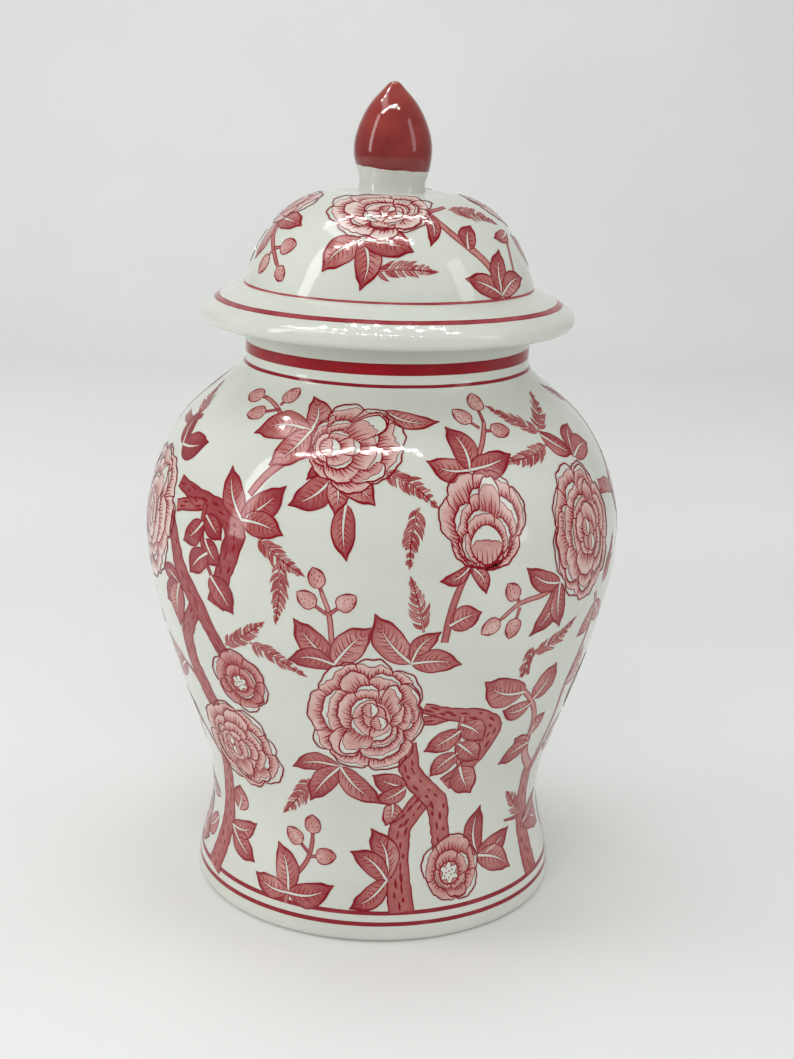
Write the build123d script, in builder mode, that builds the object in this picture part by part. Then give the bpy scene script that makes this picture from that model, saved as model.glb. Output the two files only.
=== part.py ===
from build123d import *
from math import cos, radians, sin
import os

# Ginger jar: a glazed baluster jar with a lift-off domed lid and a bud finial.
# Millimetres, +Z up, origin at the centre of the foot ring's resting face.
# Every piece is a body of revolution about the Z axis.

os.makedirs("parts", exist_ok=True)

# Jar body
FOOT_RADIUS = 99.2         # widest line of the flared foot
FOOT_EDGE_HEIGHT = 4.0     # height of the foot's rounded lower edge
FOOT_RING_WIDTH = 14.0     # band that rests on the table
WAIST_RADIUS = 91.2
WAIST_HEIGHT = 46.0
BELLY_RADIUS = 127.0
BELLY_HEIGHT = 200.5
NECK_RADIUS = 75.0
NECK_FOOT_HEIGHT = 293.0   # where the shoulder turns up into the neck
RIM_HEIGHT = 311.0         # top of the mouth, on which the lid sits
WALL = 6.5
RIM_ROUNDING = 1.6
FLOOR_HEIGHT = 14.0
RECESS_DEPTH = 6.0         # hollow under the base, inside the foot ring
RECESS_DRAFT = 2.0
INSIDE_FLOOR_PLACE = 0.06  # part of the way up the outline at which the inner wall starts
BODY_OUTLINE = (           # radius and height up the outside, from the foot to the neck
    (FOOT_RADIUS, FOOT_EDGE_HEIGHT),
    (95.0, 26.0),
    (WAIST_RADIUS, WAIST_HEIGHT),
    (105.5, 109.0),
    (121.0, 161.0),
    (BELLY_RADIUS, BELLY_HEIGHT),
    (120.8, 235.0),
    (102.3, 266.0),
    (80.7, 284.3),
    (NECK_RADIUS, NECK_FOOT_HEIGHT),
)

# Lid
FLANGE_RADIUS = 98.3
FLANGE_EDGE_RADIUS = 5.0   # rounding of the flange's rim
FLANGE_SLOPE = 36.0        # slope of the flange's top where it meets the rim
DOME_RADIUS = 76.3
DOME_FOOT_HEIGHT = 330.5
DOME_RISE = 49.0
DOME_SIDE_POWER = 0.49     # below 1 makes the dome's side stand up steeply
DOME_CROWN_POWER = 1.7     # above 1 flattens the crown
DOME_LAST_ANGLE = 87.0
DOME_STEPS = 7
LID_WALL = 5.5
HOLLOW_FOOT_PLACE = 0.04   # part of the way up the dome at which its inner wall starts

# Locating collar luted under the lid, loose in the mouth
COLLAR_RADIUS = 66.0
COLLAR_WALL = 5.5
COLLAR_DEPTH = 20.0
COLLAR_ROUNDING = 1.5

# Finial: a pointed bud on a short stem, in one piece
STEM_RADIUS = 17.2
STEM_FOOT_RADIUS = 17.8
BUD_RADIUS = 20.3
FINIAL_HEIGHT = 54.8
TIP_RADIUS = 4.8
TIP_SLOPE = 48.0           # slope of the bud's side where it meets the rounded tip
STEM_LEAN = -0.4           # inward lean of the stem where it leaves the crown
BUD_OUTLINE = (            # radius and height above the crown, from the stem to the bud's side
    (STEM_FOOT_RADIUS, 0.0),
    (STEM_RADIUS, 4.5),
    (18.7, 10.5),
    (BUD_RADIUS, 20.0),
    (16.9, 35.0),
    (11.0, 45.2),
)

WALL_STEPS = 36            # points that carry an inner wall along its outside


def inner_wall(outside, thickness, start, end):
    """Points at a constant depth inside a curve that runs upwards on the outside."""
    points = []
    for step in range(WALL_STEPS + 1):
        place = start + (end - start) * step / WALL_STEPS
        along = outside % place
        spot = outside @ place
        points.append((spot.X - along.Y * thickness, spot.Y + along.X * thickness))
    return points


def dome_point(angle):
    """Point of the dome's outline, from its foot at 0 to its crown at 90 degrees."""
    turn = radians(angle)
    radius = DOME_RADIUS * cos(turn) ** DOME_SIDE_POWER
    height = DOME_FOOT_HEIGHT + DOME_RISE * sin(turn) ** DOME_CROWN_POWER
    return (radius, height)


# Jar body: foot ring, waist, belly, shoulder and neck in one hollow wall
with BuildPart() as jar_body:
    with BuildSketch(Plane.XZ):
        with BuildLine():
            outside = Spline(*BODY_OUTLINE, tangents=[(0, 1), (0, 1)])
            neck = Line(outside @ 1, (NECK_RADIUS, RIM_HEIGHT))
            rim = Line(neck @ 1, (NECK_RADIUS - WALL, RIM_HEIGHT))
            mouth = Line(rim @ 1, (NECK_RADIUS - WALL, NECK_FOOT_HEIGHT))
            inside = Spline(*inner_wall(outside, WALL, 1, INSIDE_FLOOR_PLACE))
            floor = Line((0, FLOOR_HEIGHT), ((inside @ 1).X, FLOOR_HEIGHT))
            Line(inside @ 1, floor @ 1)
            Line(floor @ 0, (0, RECESS_DEPTH))
            ring_inner = FOOT_RADIUS - FOOT_EDGE_HEIGHT - FOOT_RING_WIDTH
            recess = Line((0, RECESS_DEPTH), (ring_inner - RECESS_DRAFT, RECESS_DEPTH))
            ring_side = Line(recess @ 1, (ring_inner, 0))
            rest_face = Line(ring_side @ 1, (FOOT_RADIUS - FOOT_EDGE_HEIGHT, 0))
            TangentArc(rest_face @ 1, outside @ 0, tangent=(1, 0))
        make_face()
    revolve(axis=Axis.Z)
    fillet(jar_body.edges().group_by(Axis.Z)[-1], radius=RIM_ROUNDING)

# Lid: flange and dome in one hollow wall, open underneath
with BuildPart() as lid:
    with BuildSketch(Plane.XZ):
        with BuildLine():
            hole_radius = COLLAR_RADIUS - COLLAR_WALL
            flat_radius = FLANGE_RADIUS - FLANGE_EDGE_RADIUS
            seat = Line((hole_radius, RIM_HEIGHT), (flat_radius, RIM_HEIGHT))
            edge = CenterArc(
                (flat_radius, RIM_HEIGHT + FLANGE_EDGE_RADIUS),
                FLANGE_EDGE_RADIUS,
                start_angle=-90,
                arc_size=180 - FLANGE_SLOPE,
            )
            TangentArc(edge @ 1, (DOME_RADIUS, DOME_FOOT_HEIGHT), tangent=edge % 1)
            angles = [DOME_LAST_ANGLE * step / DOME_STEPS for step in range(DOME_STEPS + 1)]
            dome = Spline(*[dome_point(angle) for angle in angles])
            crown = Line(dome @ 1, (0, (dome @ 1).Y))
            hollow = Spline(*inner_wall(dome, LID_WALL, HOLLOW_FOOT_PLACE, 1))
            Line(crown @ 1, (0, (hollow @ 1).Y))
            Line((0, (hollow @ 1).Y), hollow @ 1)
            Line(hollow @ 0, seat @ 0)
        make_face()
    revolve(axis=Axis.Z)

# Locating collar: plain ring under the lid that keeps it centred in the mouth
with BuildPart() as lid_collar:
    with BuildSketch(Plane.XY.offset(RIM_HEIGHT - COLLAR_DEPTH)):
        Circle(COLLAR_RADIUS)
        Circle(COLLAR_RADIUS - COLLAR_WALL, mode=Mode.SUBTRACT)
    extrude(amount=COLLAR_DEPTH)
    fillet(lid_collar.edges().group_by(Axis.Z)[0], radius=COLLAR_ROUNDING)

# Finial: stem and pointed bud
crown_height = dome_point(DOME_LAST_ANGLE)[1]
tip_turn = radians(TIP_SLOPE)
tip_centre_height = crown_height + FINIAL_HEIGHT - TIP_RADIUS
tip_foot_radius = TIP_RADIUS * sin(tip_turn)
tip_foot_height = tip_centre_height + TIP_RADIUS * cos(tip_turn)
with BuildPart() as finial:
    with BuildSketch(Plane.XZ):
        with BuildLine():
            side_points = [(radius, crown_height + rise) for radius, rise in BUD_OUTLINE]
            bud_side = Spline(
                *side_points,
                (tip_foot_radius, tip_foot_height),
                tangents=[(STEM_LEAN, 1), (-cos(tip_turn), sin(tip_turn))],
            )
            tip = CenterArc(
                (0, tip_centre_height),
                TIP_RADIUS,
                start_angle=90 - TIP_SLOPE,
                arc_size=TIP_SLOPE,
            )
            Polyline(tip @ 1, (0, crown_height), bud_side @ 0)
        make_face()
    revolve(axis=Axis.Z)

jar_body.part.label = "jar_body"
lid.part.label = "lid"
lid_collar.part.label = "lid_collar"
finial.part.label = "finial"

export_step(jar_body.part, "parts/jar_body.step")
export_step(lid.part, "parts/lid.step")
export_step(lid_collar.part, "parts/lid_collar.step")
export_step(finial.part, "parts/finial.step")
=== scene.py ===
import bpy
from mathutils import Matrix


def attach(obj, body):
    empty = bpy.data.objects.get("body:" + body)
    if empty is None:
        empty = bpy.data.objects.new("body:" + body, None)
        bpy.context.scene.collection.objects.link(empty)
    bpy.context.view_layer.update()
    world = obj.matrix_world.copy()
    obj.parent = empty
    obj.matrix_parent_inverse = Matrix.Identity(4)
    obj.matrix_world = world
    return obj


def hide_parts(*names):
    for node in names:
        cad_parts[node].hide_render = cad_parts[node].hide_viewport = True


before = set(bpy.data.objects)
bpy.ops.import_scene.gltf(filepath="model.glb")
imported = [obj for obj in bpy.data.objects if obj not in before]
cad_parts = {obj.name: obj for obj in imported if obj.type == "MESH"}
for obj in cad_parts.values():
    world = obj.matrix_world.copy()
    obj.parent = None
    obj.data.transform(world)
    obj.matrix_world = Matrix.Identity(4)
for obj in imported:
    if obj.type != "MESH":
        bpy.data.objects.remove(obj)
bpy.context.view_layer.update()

import copy
import math
import random

import bpy
import numpy as np
from mathutils import Matrix, Vector

MM = 0.001

# ---------------------------------------------------------------- shape of the jar, in mm
WALL = 6.5
FLOOR_HEIGHT = 14.0
FOOT_OUTLINE = [(0, 6), (40, 6), (79.2, 6), (81.2, 0.0), (88, 0.0), (95.2, 0.0)]
FOOT_ROUNDING = 4.0
BODY_OUTLINE = [
    (99.2, 4), (95, 26), (91.2, 46), (105.5, 109), (121, 161),
    (127, 200.5), (120.8, 235), (102.3, 266), (80.7, 284.3), (75, 293),
]
NECK_RADIUS = 75.0
NECK_FOOT = 293.0
RIM_HEIGHT = 311.0
RIM_ROUNDING = 1.6
FLANGE_RADIUS = 98.3
FLANGE_EDGE = 5.0
FLANGE_SLOPE = 36.0
DOME_RADIUS = 76.3
DOME_FOOT = 330.5
DOME_RISE = 49.0
DOME_SIDE_POWER, DOME_CROWN_POWER = 0.49, 1.7     # the dome is a stretched quarter circle to these powers
DOME_LAST_ANGLE = 87.0
DOME_KNOTS = 8
LID_WALL = 5.5
COLLAR_RADIUS = 66.0
COLLAR_WALL = 5.5
COLLAR_DEPTH = 20.0
COLLAR_ROUNDING = 1.5
BUD_OUTLINE = [(17.8, 0), (17.2, 4.5), (18.7, 10.5), (20.3, 20), (16.9, 35), (11.0, 45.2)]
BUD_HEIGHT = 54.8
TIP_RADIUS = 4.8
TIP_SLOPE = 48.0
RED_EDGE = 391.0      # height at which the finial's red glaze starts
RED_SLANT = 1.8       # how far that edge leans to one side
JAR_SEGMENTS, LID_SEGMENTS, COLLAR_SEGMENTS, BUD_SEGMENTS = 288, 256, 192, 128
RING_SEGMENTS = 300
SHARP_ANGLE = 35      # edges sharper than this many degrees aren't smoothed
JAR_INSIDE_GAP, LID_INSIDE_GAP = 7.0, 3.0     # spacing of the rings inside, where nothing is painted

# ---------------------------------------------------------------- paint layers
BASE_LIFT = 0.05      # height of a wash above the glaze
FOLD_LIFT = 0.042     # height of a flower's first folded petal above the flower
FOLD_STEP = 0.044     # height of each further folded petal above the last
LINE_LIFT = 0.026     # height of a line above its own wash
HATCH_SINK = -0.012   # fine strokes on leaves and ferns lie this much lower than their outlines
MOTIF_LIFT = 0.046    # height of one motif above the one that it overlaps
TRUNK_STEP = 0.012    # trunks lie at three heights by turns, this far apart
PAINT_DEPTH = 0.25    # how far paint solids reach below the glaze
FLAT_CELLS = 4        # washes narrower than this many cells have a plain underside
BODY_CELL = 2.4       # size of the paint's mesh cells on the body and on the lid
LID_CELL = 1.4
FRONT_SEED, BACK_SEED = 1000, 5000


def spline(points, start=None, end=None, step=2.0):
    """Smooth curve through the points, as closely spaced points; start and end are directions."""
    p = np.array(points, float)
    h = np.linalg.norm(np.diff(p, axis=0), axis=1)
    n = len(p)
    a = np.zeros((n, n))
    b = np.zeros((n, 2))
    chord = np.diff(p, axis=0) / h[:, None]
    for i in range(1, n - 1):
        a[i, i - 1:i + 2] = (h[i], 2 * (h[i - 1] + h[i]), h[i - 1])
        b[i] = 3 * (h[i] * chord[i - 1] + h[i - 1] * chord[i])
    for row, near, given, piece in ((0, 1, start, 0), (n - 1, n - 2, end, n - 2)):
        if given is None:
            a[row, row], a[row, near], b[row] = 2, 1, 3 * chord[piece]
        else:
            a[row, row], b[row] = 1, np.array(given, float) / np.linalg.norm(given)
    m = np.linalg.solve(a, b)
    out = [p[0]]
    for i in range(n - 1):
        steps = max(1, math.ceil(h[i] / step))
        for k in range(1, steps + 1):
            t = k / steps
            out.append(
                (2 * t**3 - 3 * t**2 + 1) * p[i] + (t**3 - 2 * t**2 + t) * h[i] * m[i]
                + (3 * t**2 - 2 * t**3) * p[i + 1] + (t**3 - t**2) * h[i] * m[i + 1]
            )
    return [tuple(q) for q in out]


def between(a, b, part):
    """The place that lies this part of the way from a to b."""
    return (a[0] + (b[0] - a[0]) * part, a[1] + (b[1] - a[1]) * part)


def straight(a, b, step=2.0):
    """Points of a straight line from a to b, both ends included."""
    n = max(1, math.ceil(math.dist(a, b) / step))
    return [(a[0] + (b[0] - a[0]) * k / n, a[1] + (b[1] - a[1]) * k / n) for k in range(n + 1)]


def arc(centre, radius, first, last, steps=8):
    """Points of an arc, angles in degrees from the outward direction."""
    out = []
    for k in range(steps + 1):
        turn = math.radians(first + (last - first) * k / steps)
        out.append((centre[0] + radius * math.cos(turn), centre[1] + radius * math.sin(turn)))
    return out


def directions(p):
    """Along and to the left of a curve, as unit vectors at each of its points."""
    d = np.gradient(p, axis=0)
    d /= np.maximum(np.linalg.norm(d, axis=1), 1e-9)[:, None]
    return d, np.column_stack([-d[:, 1], d[:, 0]])


def distances(p):
    """How far along a curve each of its points lies."""
    return np.concatenate([[0], np.cumsum(np.linalg.norm(np.diff(p, axis=0), axis=1))])


def hump(t, power, end=0.001):
    """Rises from almost 0 at t = 0 to 1 in the middle, and falls again."""
    return np.sin(math.pi * np.clip(t, end, 1 - end)) ** power


def inside(curve, thickness):
    """The curve moved inwards by the wall's thickness."""
    p = np.array(curve)
    return [tuple(q) for q in p + directions(p)[1] * thickness]


def thin_out(curve, gap):
    """The curve with its points at least gap apart, both ends kept."""
    out = [curve[0]]
    for q in curve[1:-1]:
        if math.dist(q, out[-1]) >= gap:
            out.append(q)
    return out + [curve[-1]]


def body_outside():
    """Outside of the body, from the foot's edge to the start of the rim's rounding."""
    wall = spline(BODY_OUTLINE, (0, 1), (0, 1))
    return wall + straight((NECK_RADIUS, NECK_FOOT), (NECK_RADIUS, RIM_HEIGHT - RIM_ROUNDING))[1:]


def dome_outside():
    """Outside of the dome, from its foot to the crown."""
    points = []
    for k in range(DOME_KNOTS):
        turn = math.radians(DOME_LAST_ANGLE * k / (DOME_KNOTS - 1))
        points.append((
            DOME_RADIUS * math.cos(turn) ** DOME_SIDE_POWER,
            DOME_FOOT + DOME_RISE * math.sin(turn) ** DOME_CROWN_POWER,
        ))
    return spline(points, step=1.0)


def flange_outside():
    """Outside of the flange, from its rim's underside to the dome's foot."""
    centre = (FLANGE_RADIUS - FLANGE_EDGE, RIM_HEIGHT + FLANGE_EDGE)
    edge = arc(centre, FLANGE_EDGE, -90, 90 - FLANGE_SLOPE, 20)
    leave = math.radians(180 - FLANGE_SLOPE)
    slope = spline([edge[-1], (DOME_RADIUS, DOME_FOOT)], (math.cos(leave), math.sin(leave)),
                   (-0.93, 0.36), step=1.0)
    return edge + slope[1:]


def bud_outside():
    """Outside of the finial, from the crown of the lid to its tip."""
    foot = DOME_FOOT + DOME_RISE * math.sin(math.radians(DOME_LAST_ANGLE)) ** DOME_CROWN_POWER
    turn = math.radians(TIP_SLOPE)
    centre = foot + BUD_HEIGHT - TIP_RADIUS
    join = (TIP_RADIUS * math.sin(turn), centre + TIP_RADIUS * math.cos(turn))
    side = spline([(r, foot + rise) for r, rise in BUD_OUTLINE] + [join],
                  (-0.4, 1), (-math.cos(turn), math.sin(turn)), step=1.0)
    return side + arc((0, centre), TIP_RADIUS, 90 - TIP_SLOPE, 90, 6)[1:]


# ---------------------------------------------------------------- meshes
def linked(name, data):
    """A new object in the scene."""
    obj = bpy.data.objects.new(name, data)
    bpy.context.scene.collection.objects.link(obj)
    return obj


def new_mesh(name, verts, faces):
    mesh = bpy.data.meshes.new(name)
    mesh.from_pydata(verts, [], faces)
    return mesh


def new_object(name, mesh, materials, body):
    """Puts a finished mesh in the scene, riding on a body."""
    obj = linked(name, mesh)
    for material in materials:
        mesh.materials.append(material)
    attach(obj, body)
    return obj


def lathe_mesh(name, outline, segments, sway=None):
    """Closed solid of revolution of an outline that starts and ends on the axis.

    sway(index, angle) gives the height in mm by which a ring is moved at that angle."""
    turn = 2 * math.pi * np.arange(segments) / segments
    verts = []
    rings = []
    for k, (r, z) in enumerate(outline):
        if r < 1e-6:
            rings.append([len(verts)] * segments)
            verts.append((0, 0, z * MM))
            continue
        rings.append(list(range(len(verts), len(verts) + segments)))
        for angle in turn:
            up = sway(k, angle) if sway else 0
            verts.append((r * MM * math.sin(angle), -r * MM * math.cos(angle), (z + up) * MM))
    faces = []
    for low, high in zip(rings, rings[1:]):
        for j in range(segments):
            i = (j + 1) % segments
            face = [low[j], low[i], high[i], high[j]]
            faces.append([v for n, v in enumerate(face) if v not in face[:n]])
    mesh = new_mesh(name, verts, faces)
    mesh.shade_smooth()
    mesh.set_sharp_from_angle(angle=math.radians(SHARP_ANGLE))
    return mesh


class Skin:
    """The outside of a turned piece, as a surface to paint on. Lengths are in mm, azimuths in radians."""

    def __init__(self, outline, cell):
        p = np.array(outline)
        d, _ = directions(p)
        self.r, self.z = p[:, 0], p[:, 1]
        self.out, self.up = d[:, 1], -d[:, 0]
        self.s = distances(p)
        self.cell = cell

    def height(self, z):
        """Distance along the outline of the point at height z."""
        return float(np.interp(z, self.z, self.s))

    def radius(self, s):
        return np.interp(s, self.s, self.r)

    def place(self, azimuth, s, lift):
        """Points in metres, and normals, at these azimuths and distances along the outline."""
        r, z = np.interp(s, self.s, self.r), np.interp(s, self.s, self.z)
        out, up = np.interp(s, self.s, self.out), np.interp(s, self.s, self.up)
        long = np.hypot(out, up)
        out, up = out / long, up / long
        x, y = np.sin(azimuth), -np.cos(azimuth)
        normals = np.stack([x * out, y * out, up], axis=-1)
        points = np.stack([x * r, y * r, z], axis=-1) + normals * lift
        return points * MM, normals


class Sheet:
    """One layer of paint: many small closed solids gathered into one mesh."""

    def __init__(self, name):
        self.name = name
        self.verts, self.normals, self.tones, self.faces = [], [], [], []
        self.count = 0

    def add(self, points, normals, tones, faces):
        """One more solid; its points, normals and tones are lists of arrays, counted one after another."""
        self.verts += [part.reshape(-1, 3) for part in points]
        self.normals += [part.reshape(-1, 3) for part in normals]
        self.tones += [part.ravel() for part in tones]
        self.faces += [tuple(v + self.count for v in face) for face in faces]
        self.count += sum(part.size // 3 for part in points)

    def finish(self, materials, body):
        """The layer as a piece of the object."""
        mesh = new_mesh(self.name, np.concatenate(self.verts).tolist(), self.faces)
        tone = mesh.attributes.new("tone", "FLOAT", "POINT")
        tone.data.foreach_set("value", np.concatenate(self.tones).astype(np.float32))
        mesh.shade_smooth()
        mesh.normals_split_custom_set_from_vertices(np.concatenate(self.normals).tolist())
        new_object(self.name, mesh, materials, body)


# Patches of heavier or lighter paint: centre and reach in degrees and mm, and how much darker.
LOADS = [((-44, 212), (20, 42), 0.2), ((-66, 256), (14, 20), 0.2), ((54, 150), (26, 60), -0.05)]


def brush_load(azimuth, height):
    """How much darker the paint is laid on at a place."""
    return sum(
        amount * math.exp(-((azimuth - centre[0]) / reach[0]) ** 2 - ((height - centre[1]) / reach[1]) ** 2)
        for centre, reach, amount in LOADS
    )


class Pen:
    """Draws around an anchor on a skin: u runs along the heading and v to its left, in mm."""

    def __init__(self, skin, sheets, start, end, turn, lift, seed):
        self.skin, self.sheets, self.turn, self.lift = skin, sheets, turn, lift
        self.azimuth = math.radians(start[0])
        self.s = skin.height(start[1])
        self.random = random.Random(seed)
        self.load = brush_load(*start)
        self.length, self.heading = 0.0, math.pi / 2
        if end:
            x, y = self.local(end)
            self.length, self.heading = math.hypot(x, y), math.atan2(y, x)

    def local(self, place):
        """A place (azimuth, height) as x to the right and y up the surface, in mm."""
        s = self.skin.height(place[1])
        return (math.radians(place[0]) - self.azimuth) * self.skin.radius(s), s - self.s

    def along(self, place):
        """A place (azimuth, height) in the pen's own u and v."""
        x, y = self.local(place)
        c, s = math.cos(self.heading), math.sin(self.heading)
        return (x * c + y * s, -x * s + y * c)

    def surface(self, uv, lift):
        """Points and normals on the skin for an array of u, v."""
        c, s = math.cos(self.heading), math.sin(self.heading)
        x = uv[..., 0] * c - uv[..., 1] * s
        up = self.s + uv[..., 0] * s + uv[..., 1] * c
        azimuth = self.azimuth + x / np.maximum(self.skin.radius(up), 12) + math.radians(self.turn)
        return self.skin.place(azimuth, up, lift)

    def wash(self, right, left, tone, sheet="wash", lift=0.0):
        """Flat wash between two curves that run the same way; tone(t, c) from 0 pale to 1 dark."""
        right, left = np.array(right, float), np.array(left, float)
        across = np.linalg.norm(left - right, axis=1).max()
        cols = max(1, math.ceil(across / self.skin.cell))
        c = np.linspace(0, 1, cols + 1)
        t = np.linspace(0, 1, len(right))
        grid = right[:, None, :] + (left - right)[:, None, :] * c[None, :, None]
        rows, wide = len(right), cols + 1
        top, normals = self.surface(grid, BASE_LIFT + self.lift + lift)
        picks = (0, cols) if across < FLAT_CELLS * self.skin.cell else tuple(range(wide))
        low, under = self.surface(grid[:, picks], -PAINT_DEPTH)
        shade = tone if callable(tone) else lambda a, b: tone
        tones = np.array([[shade(a, b) for b in c] for a in t]) + self.load
        n, m = rows * wide, len(picks)
        faces = []
        for i in range(rows - 1):
            for j in range(cols):
                a, b = i * wide + j, (i + 1) * wide + j
                faces.append((a, b, b + 1, a + 1))
            a, b = n + m * i, n + m * (i + 1)
            for j in range(m - 1):
                faces.append((a + j, a + j + 1, b + j + 1, b + j))
            faces.append((i * wide, a, b, (i + 1) * wide))
            faces.append((i * wide + cols, (i + 1) * wide + cols, b + m - 1, a + m - 1))
        last = n + m * (rows - 1)
        faces.append((*range(wide), *range(n + m - 1, n - 1, -1)))
        faces.append((*range(n - 1, n - wide - 1, -1), *range(last, last + m)))
        self.sheets[sheet].add([top, low], [normals, under], [tones, tones[:, picks]], faces)

    def line(self, points, width, sheet="outline", tone=0.5, lift=0.0):
        """Brush line along points; width is one number, or a list from start to end."""
        p = np.array(points, float)
        n = len(p)
        _, side = directions(p)
        wide = np.interp(np.linspace(0, 1, n), np.linspace(0, 1, np.size(width)), np.atleast_1d(width))
        half = np.maximum(wide, 0.05)[:, None] / 2
        height = BASE_LIFT + LINE_LIFT + self.lift + lift
        left, normals = self.surface(p + side * half, height)
        right, _ = self.surface(p - side * half, height)
        keel, _ = self.surface(p, -PAINT_DEPTH)
        faces = [(0, 2 * n, n), (n - 1, 2 * n - 1, 3 * n - 1)]
        for i in range(n - 1):
            j = i + 1
            faces.append((n + i, n + j, j, i))
            faces.append((2 * n + i, 2 * n + j, n + j, n + i))
            faces.append((i, j, 2 * n + j, 2 * n + i))
        self.sheets[sheet].add([left, right, keel], [normals] * 3, [np.full(3 * n, tone)], faces)

    def spot(self, u, v, size, thick, lift=0.0):
        """Round dab of the brush."""
        self.line([(u - size, v), (u, v), (u + size, v)], thick, lift=lift)

    def steps(self, length):
        """Number of steps in which a curve of this length follows the surface."""
        return max(3, math.ceil(length / self.skin.cell))

    def moved(self, u, v):
        """The same pen with its anchor moved to u, v."""
        c, s = math.cos(self.heading), math.sin(self.heading)
        other = copy.copy(self)
        other.s = self.s + u * s + v * c
        other.azimuth = self.azimuth + (u * c - v * s) / self.skin.radius(other.s)
        return other


def wobble(rng, n, amount, waves=3):
    """Smooth hand unevenness: n values within about +-amount."""
    t = np.linspace(0, 1, n)
    total = np.zeros(n)
    for k in range(1, waves + 1):
        total += rng.uniform(-1, 1) * np.sin(2 * math.pi * (k * t * 1.3 + rng.random())) / k
    return total * amount


def jags(rng, n, amount):
    """Uneven, pointed unevenness: n values from 0 to amount."""
    return np.array([rng.random() for _ in range(n)]) * amount


# ---------------------------------------------------------------- motifs
def leaf(pen, length, ratio=0.48, bend=0.0, tone=0.4, veins=6, line=0.66):
    """Pointed leaf from the anchor along the heading, with a pale midrib and dark side veins."""
    rng = pen.random
    n = pen.steps(length * 1.3)
    t = np.linspace(0, 1, n + 1)
    u = length * t
    spine = bend * length * np.sin(math.pi * t) * 0.5
    pinch = 1 - 0.5 * np.clip((t - 0.77) / 0.12, 0, 1)
    shape = np.sin(math.pi * t**0.84) ** 0.72 * (1 - 0.25 * t**5) * pinch
    half = ratio * length / 2
    edges = []
    for _ in range(2):
        uneven = 1 + wobble(rng, n + 1, 0.06)
        edge = np.maximum(half * shape * uneven * rng.uniform(0.92, 1.08), 0.04)
        edge[-1] = edge[0] = 0.04
        edges.append(edge)
    right = np.column_stack([u, spine - edges[0]])
    left = np.column_stack([u, spine + edges[1]])
    tip, side = rng.uniform(0.2, 0.5), rng.uniform(-0.14, 0.14)

    def shade(a, c):
        edge = 2 * c - 1
        return tone + tip * a**4 + side * edge + 0.14 * edge**4 - 0.1 * math.sin(math.pi * a)

    pen.wash(right, left, shade)
    for track in (right, left):
        weight = line * rng.uniform(0.85, 1.2)
        pen.line(track, [weight * part for part in (0.7, 1, 0.85, 1, 1.5, 2.2, 0.5)])
    leaf_veins(pen, length, t, spine, edges, veins)
    end = int(rng.uniform(0.7, 0.8) * n) + 1
    width = min(1.15, 0.36 + 0.055 * half * 2)
    rib = np.column_stack([u, spine])[:end]
    pen.line(rib, [width * 1.3 + 0.7, width + 0.65, width * 0.4 + 0.5], sheet="hatch", lift=0.006)
    pen.line(rib, [width * 1.25, width, width * 0.2], sheet="reserve", lift=0.016)


def leaf_veins(pen, length, t, spine, edges, veins):
    """Side veins that curve forward from the midrib on both sides of a leaf."""
    rng = pen.random
    for sign, edge in zip((-1, 1), edges):
        for k in range(veins):
            a = 0.12 + 0.7 * (k + rng.uniform(-0.2, 0.2)) / veins
            reach = np.interp(a + 0.1, t, edge) * rng.uniform(0.5, 0.85)
            foot = np.interp(a, t, spine)
            end = (length * (a + 0.1 + 0.02 * rng.random()), foot + sign * reach)
            middle = (length * (a + 0.04), foot + sign * reach * 0.55)
            pen.line([(length * a, foot + sign * 0.1 * reach), middle, end],
                     [0.72, 0.56, 0.14], sheet="hatch", lift=HATCH_SINK)


def berry(pen, length, ratio=0.78):
    """Pointed oval berry with dark dots."""
    rng = pen.random
    n = max(8, pen.steps(length * 1.6))
    t = np.linspace(0, 1, n + 1)
    half = ratio * length / 2 * np.sin(math.pi * t**0.8) ** 0.55 * (1 - 0.35 * t**5)
    half = np.maximum(half * (1 + wobble(rng, n + 1, 0.04)), 0.03)
    half[0] = half[-1] = 0.03
    right = np.column_stack([length * t, -half])
    left = np.column_stack([length * t, half])
    dark, side = rng.uniform(0.0, 0.25), rng.uniform(-0.08, 0.08)
    pen.wash(right, left, lambda a, c: 0.16 + dark * a + side * (2 * c - 1) + 0.12 * (2 * c - 1) ** 2)
    for track in (right, left):
        pen.line(track, [0.5, 0.6, 0.5, 1.1, 0.35])
    dots = []
    for _ in range(40):
        a = rng.uniform(0.16, 0.82)
        spot = (length * a, rng.uniform(-0.68, 0.68) * np.interp(a, t, half))
        if len(dots) < 9 and all(math.dist(spot, other) > 1.7 for other in dots):
            dots.append(spot)
    for u, v in dots:
        size = rng.uniform(0.25, 0.42)
        pen.spot(u, v, size, [size, 2 * size, size], lift=0.004)


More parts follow.
